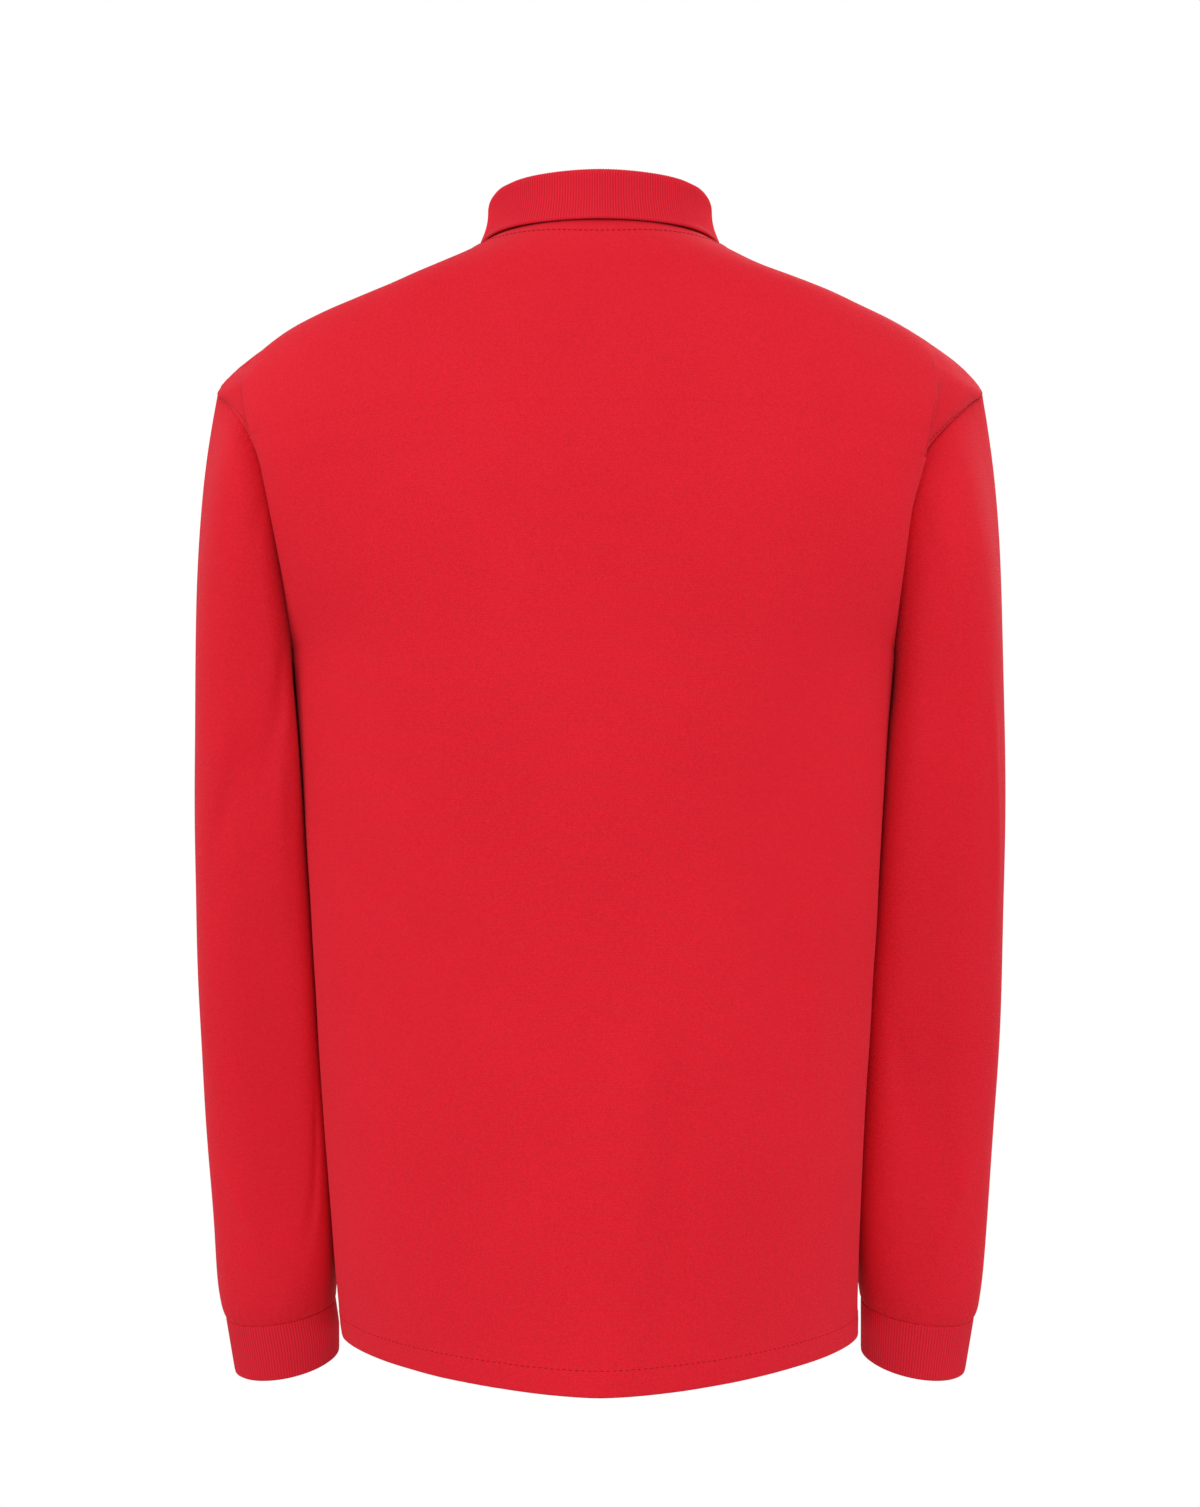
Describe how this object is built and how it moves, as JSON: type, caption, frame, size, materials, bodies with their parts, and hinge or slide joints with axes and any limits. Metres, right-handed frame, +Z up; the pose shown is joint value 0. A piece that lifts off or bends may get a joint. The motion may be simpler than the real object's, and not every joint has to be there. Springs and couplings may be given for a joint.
{
  "type": "long sleeve polo shirt",
  "caption": "Long sleeve polo shirt in red pique, filled out as if worn: ribbed turned-down collar, buttoned placket, set-in sleeves with ribbed cuffs.",
  "frame": {"origin": "on the midline, at the height of the points where the shoulder seams reach the neck, in the middle of the neck opening, where the wearer's neck and shoulders hold it", "axes": "+Z up, the wearer faces -Y, +X to the wearer's left"},
  "size_m": [0.5294, 0.279, 0.7791],
  "materials": {
    "pique": "matte knitted cotton pique",
    "rib": "matte flat-knit rib",
    "button": "soft gloss, dyed to match"
  },
  "bodies": {
    "root": {"back": "pique", "front": "pique", "sleeve_left": "pique", "sleeve_right": "pique", "placket_upper": "pique", "placket_under": "pique", "cuff_left": "rib", "cuff_right": "rib", "collar": "rib", "button_1": "button", "button_2": "button", "button_3": "button"}
  },
  "joints": []
}
